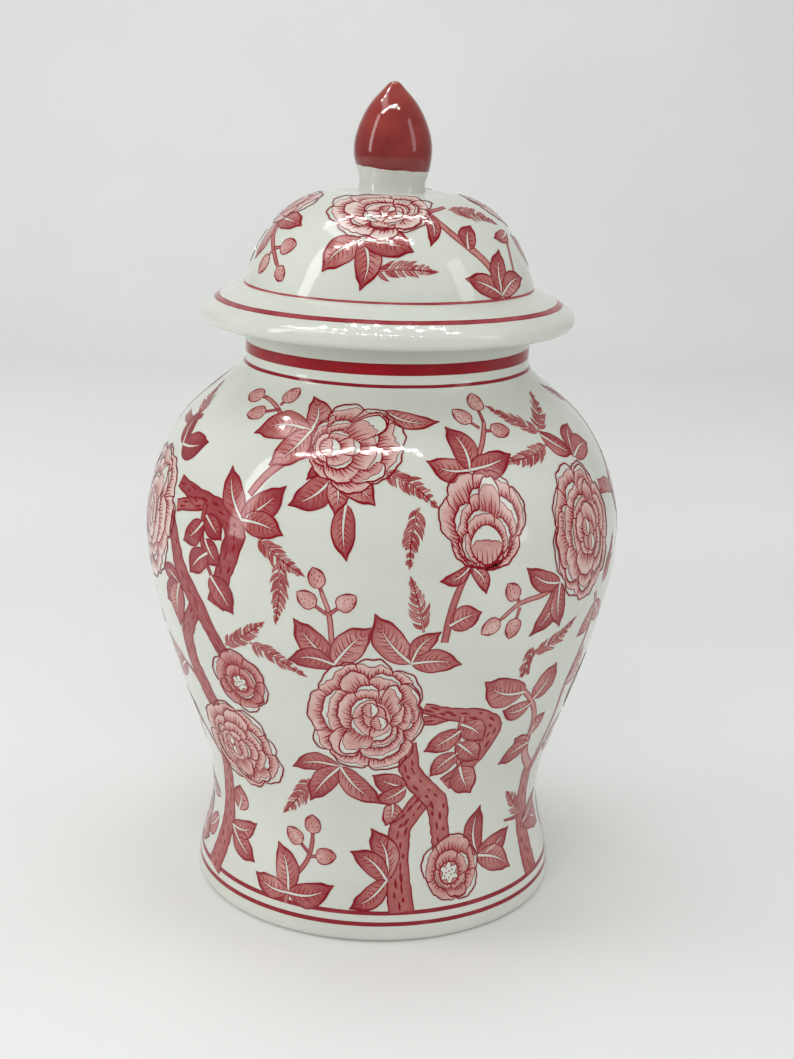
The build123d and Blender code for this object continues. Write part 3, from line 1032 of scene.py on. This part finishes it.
RING_WAVES = (1, 2, 3, 7, 13, 29)     # unevenness of a painted ring, in waves round the jar


def draw_ring(skin, sheet, low, high, tone, seed, uneven=0.12, lift=0.0):
    """Painted band right round a skin between two distances along its outline."""
    rng = random.Random(seed)
    turn = np.linspace(0, 2 * math.pi, RING_SEGMENTS + 1)
    edges = []
    for s in (low, high):
        waves = [rng.uniform(-1, 1) * np.sin(k * turn + rng.uniform(0, 6)) / k**0.5 for k in RING_WAVES]
        edges.append(s + uneven * sum(waves))
    rows = max(1, math.ceil((high - low) / skin.cell))
    azimuth = np.repeat(turn[:-1, None], rows + 1, axis=1)
    s = edges[0][:-1, None] + (edges[1] - edges[0])[:-1, None] * np.linspace(0, 1, rows + 1)[None, :]
    top, normals = skin.place(azimuth, s, BASE_LIFT + lift)
    bottom, _ = skin.place(azimuth, s, -PAINT_DEPTH)
    wide = rows + 1
    n = RING_SEGMENTS * wide
    faces = []
    for i in range(RING_SEGMENTS):
        k = (i + 1) % RING_SEGMENTS
        for j in range(rows):
            a, b = i * wide + j, k * wide + j
            faces.append((a, b, b + 1, a + 1))
            faces.append((n + a, n + a + 1, n + b + 1, n + b))
        faces.append((n + i * wide, n + k * wide, k * wide, i * wide))
        faces.append((i * wide + rows, k * wide + rows, n + k * wide + rows, n + i * wide + rows))
    tones = np.array([[tone + 0.2 * abs(2 * c - 1) ** 4 for c in np.linspace(0, 1, wide)]] * RING_SEGMENTS)
    sheet.add([top, bottom], [normals] * 2, [tones] * 2, faces)


# ---------------------------------------------------------------- materials
def linear(colour):
    """An sRGB colour, 0 to 255, as linear RGBA."""
    out = []
    for c in colour:
        c /= 255
        out.append(c / 12.92 if c <= 0.04045 else ((c + 0.055) / 1.055) ** 2.4)
    return (*out, 1.0)


class Finish:
    """A node material being built."""

    def __init__(self, name, roughness, shine=0.5):
        self.material = bpy.data.materials.new(name)
        self.material.use_nodes = True
        self.tree = self.material.node_tree
        self.shader = next(n for n in self.tree.nodes if n.type == "BSDF_PRINCIPLED")
        self.shader.inputs["Roughness"].default_value = roughness
        self.shader.inputs["Specular IOR Level"].default_value = shine
        self.place = self.add("ShaderNodeTexCoord").outputs["Object"]

    def add(self, kind, **values):
        """A new node, with these of its own settings."""
        node = self.tree.nodes.new(kind)
        for setting, value in values.items():
            setattr(node, setting, value)
        return node

    def link(self, output, target):
        self.tree.links.new(output, target)

    def noise(self, scale, detail=3.0, roughness=0.5):
        node = self.add("ShaderNodeTexNoise")
        node.inputs["Scale"].default_value = scale
        node.inputs["Detail"].default_value = detail
        node.inputs["Roughness"].default_value = roughness
        self.link(self.place, node.inputs["Vector"])
        return node.outputs["Fac"]

    def dots(self, scale):
        node = self.add("ShaderNodeTexVoronoi")
        node.inputs["Scale"].default_value = scale
        self.link(self.place, node.inputs["Vector"])
        return node.outputs["Distance"]

    def patches(self, scale, detail, amount, offset):
        """Uneven brushing: noise of this amount, moved by the offset."""
        return self.math("MULTIPLY_ADD", self.noise(scale, detail, 0.6), amount, offset)

    def attribute(self, name):
        return self.add("ShaderNodeAttribute", attribute_name=name).outputs["Fac"]

    def ramp(self, value, stops):
        node = self.add("ShaderNodeValToRGB")
        ramp = node.color_ramp
        while len(ramp.elements) < len(stops):
            ramp.elements.new(0.5)
        for element, (place, colour) in zip(ramp.elements, stops):
            element.position = place
            element.color = colour if isinstance(colour, tuple) else (colour, colour, colour, 1)
        self.link(value, node.inputs["Fac"])
        return node.outputs["Color"]

    def math(self, kind, *values):
        node = self.add("ShaderNodeMath", operation=kind)
        for socket, value in zip(node.inputs, values):
            if isinstance(value, (int, float)):
                socket.default_value = value
            else:
                self.link(value, socket)
        return node.outputs["Value"]

    def mix(self, amount, a, b):
        node = self.add("ShaderNodeMix", data_type="RGBA")
        for index, value in ((0, amount), (6, a), (7, b)):
            if isinstance(value, (int, float, tuple)):
                node.inputs[index].default_value = value
            else:
                self.link(value, node.inputs[index])
        return node.outputs[2]

    def colour(self, value):
        if isinstance(value, tuple):
            self.shader.inputs["Base Color"].default_value = value
        else:
            self.link(value, self.shader.inputs["Base Color"])

    def shade(self, value, stops):
        """Colours the piece by a value, through stops of (value, sRGB colour)."""
        self.colour(self.ramp(value, [(place, linear(colour)) for place, colour in stops]))

    def bump(self, height, strength, distance):
        node = self.add("ShaderNodeBump")
        node.inputs["Strength"].default_value = strength
        node.inputs["Distance"].default_value = distance
        self.link(height, node.inputs["Height"])
        self.link(node.outputs["Normal"], self.shader.inputs["Normal"])


BUD_SHADE_TOP = 0.434      # height in metres of the finial's tip, where the painted shade begins
BUD_SHADE_RATE = 10.0      # how fast the painted shade darkens its colour below that, per metre
GLAZE_BUMP_SCALE = 260.0
GLAZE_BUMP = (0.3, 0.00012)     # strength, and depth in metres
GLAZE_ROUGHNESS, PAINT_ROUGHNESS, BUD_ROUGHNESS, PAPER_ROUGHNESS = 0.055, 0.08, 0.045, 0.6
LINE_SHINE, PAPER_SHINE = 0.3, 0.25
# Scales of the noise in the finishes, per metre.
CLOUD_NOISE, SPECK_DOTS, SPECK_PLACES, PAPER_NOISE = 14, 62, 45, 3
BRUSH_NOISE, GRAIN_NOISE, BAND_NOISE, BUD_NOISE, LINE_NOISE = 190, 900, 70, 60, 600


def glaze_bump(finish):
    """The slight unevenness that breaks up reflections in the glaze."""
    finish.bump(finish.noise(GLAZE_BUMP_SCALE, 2.0, 0.55), *GLAZE_BUMP)


GLAZE_WHITE = (217, 220, 210)
SPECK = (70, 66, 60)
# The finial's stem is painted greyer than the other glaze, as painted shade under the bud.
STEM_SHADED_WHITE = (206, 208, 200)
COLLAR_WHITE = (224, 226, 220)


def white_glaze(name, ground=GLAZE_WHITE, specks=True):
    """Clear glaze over white porcelain, slightly cloudy, with a few dark specks where asked for."""
    finish = Finish(name, GLAZE_ROUGHNESS)
    cloud = finish.ramp(finish.noise(CLOUD_NOISE, 4.0), [
        (0.3, linear(tuple(c - 9 for c in ground))), (0.62, linear(ground)),
        (0.8, linear(tuple(min(255, c + 6) for c in ground))),
    ])
    if specks:
        dot = finish.ramp(finish.dots(SPECK_DOTS), [(0.0, 1.0), (0.022, 1.0), (0.03, 0.0)])
        rare = finish.ramp(finish.noise(SPECK_PLACES, 0.0), [(0.0, 0.0), (0.7, 0.0), (0.72, 1.0)])
        finish.colour(finish.mix(finish.math("MULTIPLY", dot, rare), cloud, linear(SPECK)))
    else:
        finish.colour(cloud)
    glaze_bump(finish)
    return finish.material


TONES = (0.0, 0.22, 0.45, 0.68, 1.0)     # tones at which a wash has the colours below
LEAF_WASH = ((228, 208, 200), (206, 156, 150), (178, 102, 98), (152, 56, 62), (120, 10, 28))
PETAL_WASH = ((229, 208, 200), (206, 158, 151), (182, 110, 105), (154, 58, 62), (122, 12, 28))
OUTLINE_CRIMSON = (138, 8, 28)
HATCH_ROSE = (146, 30, 42)
CRIMSON_BAND = ((182, 12, 34), (140, 2, 20))     # its pale and deep colours
ROSE_BAND = ((188, 96, 102), (140, 26, 40))
BUD_REDS = [(0.2, (162, 70, 60)), (0.5, (146, 52, 46)), (0.85, (112, 26, 26))]
PAPER = [(0.3, (236, 237, 236)), (0.7, (240, 241, 240))]


def wash_paint(name, colours):
    """Underglaze wash: pale to dark by the tone attribute, broken up as if brushed."""
    finish = Finish(name, PAINT_ROUGHNESS)
    patchy = finish.patches(BRUSH_NOISE, 5.0, 0.34, -0.17)
    fine = finish.patches(GRAIN_NOISE, 3.0, 0.22, -0.11)
    tone = finish.math("ADD", finish.math("ADD", finish.attribute("tone"), patchy), fine)
    finish.shade(tone, zip(TONES, colours))
    glaze_bump(finish)
    return finish.material


def line_paint(name, colour):
    """Even underglaze colour of the drawn lines."""
    finish = Finish(name, PAINT_ROUGHNESS, LINE_SHINE)
    finish.colour(linear(colour))
    roughness = finish.ramp(finish.noise(LINE_NOISE, 2.0), [(0.3, 0.06), (0.7, 0.12)])
    finish.link(roughness, finish.shader.inputs["Roughness"])
    glaze_bump(finish)
    return finish.material


def band_paint(name, pale, deep):
    """Colour of a band or ring, brushed on unevenly while the jar turned."""
    finish = Finish(name, PAINT_ROUGHNESS, LINE_SHINE)
    tone = finish.math("ADD", finish.attribute("tone"), finish.patches(BAND_NOISE, 5.0, 0.9, -0.2))
    finish.shade(tone, [(0.3, pale), (0.85, deep)])
    glaze_bump(finish)
    return finish.material


def bud_glaze(name):
    """Thick brick-red glaze of the finial, patchy, with painted shade that darkens it towards its foot in
    place of a dark reflection.
    """
    finish = Finish(name, BUD_ROUGHNESS)
    split = finish.add("ShaderNodeSeparateXYZ")
    finish.link(finish.place, split.inputs["Vector"])
    # Painted shade: the red darkens with the distance below the tip.
    rise = finish.math("SUBTRACT", BUD_SHADE_TOP, split.outputs["Z"])
    painted_shade = finish.math("MULTIPLY", rise, BUD_SHADE_RATE)
    patchy = finish.math("ADD", finish.math("MULTIPLY", finish.noise(BUD_NOISE, 5.0, 0.6), 0.7), painted_shade)
    finish.shade(patchy, BUD_REDS)
    glaze_bump(finish)
    return finish.material


# ---------------------------------------------------------------- the jar's pieces
def build_jar():
    glaze = white_glaze("jar_glaze")
    outside_line = body_outside()
    inner = thin_out(inside(spline(BODY_OUTLINE, (0, 1), (0, 1)), WALL)[::-1], JAR_INSIDE_GAP)
    inner = [q for q in inner if q[1] > FLOOR_HEIGHT + 1]
    foot = FOOT_OUTLINE + arc((FOOT_OUTLINE[-1][0], FOOT_ROUNDING), FOOT_ROUNDING, -90, 0, 6)[1:-1]
    top = RIM_HEIGHT - RIM_ROUNDING
    outer_rim = arc((NECK_RADIUS - RIM_ROUNDING, top), RIM_ROUNDING, 0, 90, 6)
    inner_rim = arc((NECK_RADIUS - WALL + RIM_ROUNDING, top), RIM_ROUNDING, 90, 180, 6)
    floor = straight((inner[-1][0] - 0.6, FLOOR_HEIGHT), (0, FLOOR_HEIGHT), 12)
    outline = foot + outside_line + outer_rim[1:] + inner_rim + inner + floor
    turned = lathe_mesh("jar_shell", outline, JAR_SEGMENTS)
    jar = new_object("jar_shell", turned, [glaze], "jar")
    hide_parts("jar_body")
    return Skin(outside_line, BODY_CELL), glaze


def build_lid():
    glaze = white_glaze("lid_glaze")
    dome = dome_outside()
    outside_line = flange_outside() + dome[1:]
    hollow = thin_out(inside(dome, LID_WALL)[::-1], LID_INSIDE_GAP)
    hole = COLLAR_RADIUS - COLLAR_WALL
    under = [(hole, RIM_HEIGHT), (NECK_RADIUS, RIM_HEIGHT)]
    outline = under + outside_line + [(0, dome[-1][1])]
    turned = lathe_mesh("lid_shell", [(0, hollow[0][1])] + hollow[:-1] + outline, LID_SEGMENTS)
    lid = new_object("lid_shell", turned, [glaze], "lid_body")
    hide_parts("lid")
    return Skin(outside_line, LID_CELL), glaze


def build_collar():
    rounding = COLLAR_ROUNDING
    low = RIM_HEIGHT - COLLAR_DEPTH
    inner = COLLAR_RADIUS - COLLAR_WALL
    outline = [(inner, RIM_HEIGHT)] + straight((inner, RIM_HEIGHT), (inner, low + rounding), 4)[1:]
    outline += arc((inner + rounding, low + rounding), rounding, 180, 270, 5)[1:]
    outline += arc((COLLAR_RADIUS - rounding, low + rounding), rounding, -90, 0, 5)
    outline += straight((COLLAR_RADIUS, low + rounding), (COLLAR_RADIUS, RIM_HEIGHT), 4)[1:]
    mesh = lathe_mesh("lid_collar_ring", outline + [outline[0]], COLLAR_SEGMENTS)
    glaze = white_glaze("collar_glaze", COLLAR_WHITE, False)
    collar = new_object("lid_collar_ring", mesh, [glaze], "lid_body")
    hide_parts("lid_collar")


def build_finial():
    side = bud_outside()
    start = min(range(len(side)), key=lambda k: abs(side[k][1] - RED_EDGE))
    rng = random.Random(5)
    waves = [(k, rng.uniform(-0.14, 0.14), rng.uniform(0, 6)) for k in (2, 3, 5, 8, 13)]

    def sway(k, angle):
        near = max(0.0, 1 - abs(k - start + 1) / 8)
        edge = -RED_SLANT * math.sin(angle) + sum(a * math.sin(n * angle + p) for n, a, p in waves)
        return edge * near

    outline = [(0, side[0][1])] + side
    outline[-1] = (0, side[-1][1])
    mesh = lathe_mesh("finial_bud", outline, BUD_SEGMENTS, sway)
    # The stem's white is greyer as painted shade under the bud.
    finishes = [bud_glaze("bud_red"), white_glaze("stem_shaded_white", STEM_SHADED_WHITE, False)]
    finial = new_object("finial_bud", mesh, finishes, "lid_body")
    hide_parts("finial")
    for face in mesh.polygons:
        face.material_index = 1 if face.index // BUD_SEGMENTS < start + 1 else 0


def build_paint(body_skin, lid_skin, jar_glaze, lid_glaze):
    paints = {
        "wash": wash_paint("wash_rose", LEAF_WASH), "petal": wash_paint("wash_petal", PETAL_WASH),
        "outline": line_paint("line_crimson", OUTLINE_CRIMSON), "hatch": line_paint("line_rose", HATCH_ROSE),
    }
    for skin, body, prefix, draw, plain in (
        (body_skin, "jar", "jar", draw_side, jar_glaze), (lid_skin, "lid_body", "lid", draw_lid, lid_glaze),
    ):
        finishes = {**paints, "reserve": plain}
        sheets = {kind: Sheet(f"{prefix}_{kind}") for kind in finishes}
        for turn, seed in ((0, FRONT_SEED), (180, BACK_SEED)):
            draw(Painter(skin, sheets, turn, seed))
        for kind, sheet in sheets.items():
            sheet.finish([finishes[kind]], body)


NECK_BAND = (295.6, 301.5)     # heights of its edges
BODY_RINGS = ((290.4, 1.7, 1.0), (16.4, 2.3, 0.42), (10.6, 2.3, 0.42))     # height, width, tone
FLANGE_RING_RADIUS = 90.0
FLANGE_RING_WIDTH = 3.4
CREASE_RING = (0.2, 1.5)       # its edges, up the dome from its foot


def build_bands(body_skin, lid_skin):
    crimson = band_paint("band_crimson", *CRIMSON_BAND)
    rose = band_paint("band_rose", *ROSE_BAND)
    neck = Sheet("neck_band")
    draw_ring(body_skin, neck, *(body_skin.height(z) for z in NECK_BAND), 0.5, 1, uneven=0.08)
    neck.finish([crimson], "jar")
    lines = Sheet("jar_lines")
    for k, (z, wide, tone) in enumerate(BODY_RINGS):
        middle = body_skin.height(z)
        draw_ring(body_skin, lines, middle - wide / 2, middle + wide / 2, tone, 7 + k)
    lines.finish([rose], "jar")
    rings = Sheet("lid_lines")
    top = slice(20, 60)        # the part of the lid's outline that is the flange's top
    flange = float(np.interp(-FLANGE_RING_RADIUS, -lid_skin.r[top], lid_skin.s[top]))
    half = FLANGE_RING_WIDTH / 2
    draw_ring(lid_skin, rings, flange - half, flange + half, 0.4, 21, uneven=0.2)
    crease = lid_skin.height(DOME_FOOT)
    draw_ring(lid_skin, rings, crease + CREASE_RING[0], crease + CREASE_RING[1], 0.12, 22, uneven=0.15)
    rings.finish([rose], "lid_body")


# ---------------------------------------------------------------- stage, light and camera
FLOOR_FRONT, FLOOR_BACK, FLOOR_HALF = -1.5, 1.6, 1.8
SWEEP_RADIUS = 0.7
WALL_TOP = 3.2
FLOOR_COLUMNS = 9


def build_floor():
    """Pale floor that sweeps up into a backdrop."""
    points = straight((FLOOR_FRONT, 0), (FLOOR_BACK, 0), 0.2)
    for a in np.linspace(0.1, math.pi / 2, 14):
        points.append((FLOOR_BACK + SWEEP_RADIUS * math.sin(a), SWEEP_RADIUS * (1 - math.cos(a))))
    wall = FLOOR_BACK + SWEEP_RADIUS
    points += straight((wall, SWEEP_RADIUS), (wall, WALL_TOP), 0.3)[1:]
    verts = [(x, y, z) for y, z in points for x in np.linspace(-FLOOR_HALF, FLOOR_HALF, FLOOR_COLUMNS)]
    faces = []
    for i in range(len(points) - 1):
        for j in range(FLOOR_COLUMNS - 1):
            a = i * FLOOR_COLUMNS + j
            faces.append((a, a + 1, a + FLOOR_COLUMNS + 1, a + FLOOR_COLUMNS))
    mesh = new_mesh("studio_sweep", verts, faces)
    mesh.shade_smooth()
    sweep = linked("studio_sweep", mesh)
    finish = Finish("studio_paper", PAPER_ROUGHNESS, PAPER_SHINE)
    finish.shade(finish.noise(PAPER_NOISE, 3.0), PAPER)
    mesh.materials.append(finish.material)


def area_light(name, place, target, size, power, glossy=True, diffuse=True):
    light = bpy.data.lights.new(name, "AREA")
    light.shape = "RECTANGLE"
    light.size, light.size_y = size
    light.energy = power
    obj = linked(name, light)
    obj.location = place
    obj.rotation_euler = (Vector(target) - Vector(place)).to_track_quat("-Z", "Y").to_euler()
    obj.visible_glossy = glossy
    obj.visible_diffuse = diffuse
    obj.visible_camera = False


LAMP_HEIGHT = 1.7
LAMP_SIZE = (0.02, 0.035)
LAMP_SPACING = 0.072
LAMP_STRAY = 0.09     # how far a lamp stands off its row
LAMP_GLOW = 480.0
LAMP_COLOUR = (1, 0.98, 0.95, 1)
LAMP_ROWS = [(-1.1, 0.42, -0.6), (-1.0, 0.55, 0.3)]     # ends in x, and y


def build_lamps():
    """Two rows of small lamps under the ceiling, whose reflections are the fine bright lines."""
    for k, (left, right, y) in enumerate(LAMP_ROWS):
        count = int((right - left) / LAMP_SPACING)
        verts, faces = [], []
        rng = random.Random(k)
        for i in range(count):
            x = left + (i + 0.5) * (right - left) / count
            middle = y + rng.uniform(-1, 1) * LAMP_STRAY
            for dx, dy in ((-1, -1), (-1, 1), (1, 1), (1, -1)):
                verts.append((x + dx * LAMP_SIZE[0] / 2, middle + dy * LAMP_SIZE[1] / 2, LAMP_HEIGHT))
            faces.append(tuple(range(4 * i, 4 * i + 4)))
        mesh = new_mesh(f"lamp_row_{k}", verts, faces)
        glow = bpy.data.materials.new(f"lamp_glow_{k}")
        glow.use_nodes = True
        shader = next(n for n in glow.node_tree.nodes if n.type == "BSDF_PRINCIPLED")
        shader.inputs["Base Color"].default_value = (0, 0, 0, 1)
        shader.inputs["Emission Color"].default_value = LAMP_COLOUR
        shader.inputs["Emission Strength"].default_value = LAMP_GLOW
        mesh.materials.append(glow)
        row = linked(f"lamp_row_{k}", mesh)
        row.visible_diffuse = False
        row.visible_camera = False


AIR_COLOUR = (0.97, 0.98, 0.97, 1)
AIR_LIGHT = 0.39      # strength of the even light from all round
AIR_SEEN = 0.79       # its strength where it is seen past the floor
MIDDLE = (0, 0, 0.22)
SOFTBOXES = [         # name, place, target, size, power: they light matt colour and don't show in gloss
    ("left_softbox", (-1.7, 0.0, 0.8), MIDDLE, (0.8, 1.5), 9.5),
    ("right_softbox", (1.7, 0.1, 0.8), MIDDLE, (0.8, 1.5), 4.8),
    ("front_softbox", (1.8, -1.3, 1.3), MIDDLE, (1.4, 1.4), 1.4),
    ("ceiling_softbox", (0.0, 0.0, 2.3), (0, 0, 0), (1.5, 1.5), 12.4),
    ("table_wash", (-0.3, -1.4, 1.0), (-0.1, -0.3, 0.0), (1.6, 0.4), 8.8),
    ("wall_wash", (-1.0, 0.9, 1.9), (-0.7, 2.3, 0.8), (1.4, 0.5), 6.4),
    ("backdrop_wash", (0.3, 0.4, 0.95), (0.4, 2.3, 1.1), (2.2, 0.3), 2.0),
]
PANELS = [            # the same for lights that show in gloss only
    ("left_panel", (-1.5, -0.55, 0.95), MIDDLE, (0.3, 1.5), 7),
    ("right_panel", (1.6, -0.75, 1.0), MIDDLE, (0.4, 1.4), 4),
    ("top_panel", (-0.9, -0.1, 2.0), MIDDLE, (1.0, 0.5), 5),
]


def build_lights():
    for light in SOFTBOXES:
        area_light(*light, glossy=False)
    for light in PANELS:
        area_light(*light, diffuse=False)
    world = bpy.data.worlds.new("studio_air")
    world.use_nodes = True
    background = next(n for n in world.node_tree.nodes if n.type == "BACKGROUND")
    background.inputs["Color"].default_value = AIR_COLOUR
    seen = world.node_tree.nodes.new("ShaderNodeLightPath").outputs["Is Camera Ray"]
    strength = world.node_tree.nodes.new("ShaderNodeMapRange")
    strength.inputs["To Min"].default_value = AIR_LIGHT
    strength.inputs["To Max"].default_value = AIR_SEEN
    world.node_tree.links.new(seen, strength.inputs["Value"])
    world.node_tree.links.new(strength.outputs["Result"], background.inputs["Strength"])
    bpy.context.scene.world = world


CAMERA_PLACE = (0.0, -0.9213, 0.4524)
CAMERA_PITCH, CAMERA_YAW, CAMERA_ROLL = 15.5, 0.5, 1.75     # degrees down, right and about its axis
CAMERA_LENS, CAMERA_SENSOR = 59.49, 36.0


def build_camera():
    data = bpy.data.cameras.new("photo_camera")
    data.lens = CAMERA_LENS
    data.sensor_width = CAMERA_SENSOR
    camera = linked("photo_camera", data)
    pitch, yaw = math.radians(CAMERA_PITCH), math.radians(CAMERA_YAW)
    ahead = Vector((math.sin(yaw) * math.cos(pitch), math.cos(yaw) * math.cos(pitch), -math.sin(pitch)))
    right = Vector((math.cos(yaw), -math.sin(yaw), 0))
    up = right.cross(ahead)
    turned = Matrix((right, up, -ahead)).transposed() @ Matrix.Rotation(math.radians(CAMERA_ROLL), 3, "Z")
    camera.matrix_world = Matrix.Translation(CAMERA_PLACE) @ turned.to_4x4()
    bpy.context.scene.camera = camera


body_skin, jar_glaze = build_jar()
lid_skin, lid_glaze = build_lid()
build_collar()
build_finial()
build_paint(body_skin, lid_skin, jar_glaze, lid_glaze)
build_bands(body_skin, lid_skin)
build_floor()
build_lights()
build_lamps()
build_camera()
bpy.context.scene.view_settings.view_transform = "Standard"
